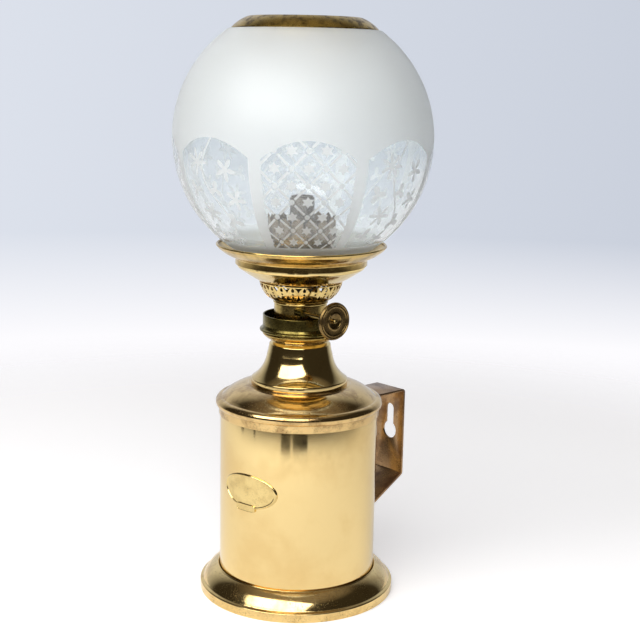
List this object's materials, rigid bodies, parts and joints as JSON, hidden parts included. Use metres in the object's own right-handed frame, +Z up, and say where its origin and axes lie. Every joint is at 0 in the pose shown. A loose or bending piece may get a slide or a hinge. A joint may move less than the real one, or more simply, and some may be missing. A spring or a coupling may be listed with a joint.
{
  "type": "kerosene lamp",
  "caption": "Brass table and wall lamp: cylindrical oil tank on a round foot, round-wick burner with pierced air basket, and an etched ball globe in a dished holder.",
  "frame": {"origin": "centre of the foot's underside, on the lamp's axis, at the surface that the lamp stands on", "axes": "+Z up the lamp's axis, +Y towards the wall bracket, +X to the side that the wick knob points to"},
  "size_m": [0.1508, 0.1567, 0.3413],
  "materials": {
    "polished_brass": "polished, lacquered, slightly worn",
    "aged_brass": "mottled, tarnished",
    "dark_brass": "dark olive patina",
    "copper_brass": "rolled strip, brown patina",
    "spindle_metal": "drawn wire, dull",
    "zinc_steel": "zinc plated sheet",
    "felt": "wool felt",
    "cork": "pressed cork",
    "cotton": "woven cotton",
    "etched_glass": "etched matt with clear windows"
  },
  "bodies": {
    "lamp_base": {"foot_ring": "polished_brass", "felt_pad": "felt", "base_plate": "zinc_steel", "font_cylinder": "polished_brass", "font_bottom": "polished_brass", "shoulder_cap": "polished_brass", "neck_bell": "polished_brass", "font_collar": "polished_brass", "collar_gasket": "cork", "wall_bracket": "copper_brass"},
    "burner": {"screw_cup": "dark_brass", "burner_throat": "polished_brass", "air_basket": "polished_brass", "gallery_bowl": "polished_brass", "gallery_cone": "polished_brass", "chimney_crown": "dark_brass", "outer_wick_tube": "dark_brass", "inner_draught_tube": "dark_brass", "wheel_cage": "polished_brass", "spindle_sleeve": "dark_brass"},
    "wick_gear": {"wick_spindle": "spindle_metal", "wick_wheels": "dark_brass", "wick_knob": "dark_brass"},
    "wick_tube_wick": {"wick": "cotton"},
    "shade_carrier": {"shade_holder": "polished_brass"},
    "glass_globe": {"globe": "etched_glass"},
    "cap_ring": {"globe_cap_ring": "aged_brass"}
  },
  "joints": [
    {"name": "burner_lift", "type": "slide", "parent": "lamp_base", "child": "burner", "axis": [0, 0, 1], "range_m": [0, 0.115]},
    {"name": "wick_knob_turn", "type": "hinge", "parent": "burner", "child": "wick_gear", "pos_m": [0.02908, -0.01262, 0.1738], "axis": [0.9968, -0.0802, 0], "range_deg": [-153, 76]},
    {"name": "wick_rise", "type": "slide", "parent": "burner", "child": "wick_tube_wick", "axis": [0, 0, 1], "range_m": [-0.0086, 0.0043]},
    {"name": "shade_holder_lift", "type": "slide", "parent": "burner", "child": "shade_carrier", "axis": [0, 0, 1], "range_m": [0, 0.05]},
    {"name": "globe_lift", "type": "slide", "parent": "shade_carrier", "child": "glass_globe", "axis": [0, 0, 1], "range_m": [0, 0.05]},
    {"name": "globe_cap_lift", "type": "slide", "parent": "glass_globe", "child": "cap_ring", "axis": [0, 0, 1], "range_m": [0, 0.03]}
  ],
  "couplings": [
    {"joint": "wick_rise", "follows": "wick_knob_turn", "m_per_rad": 0.0032}
  ]
}
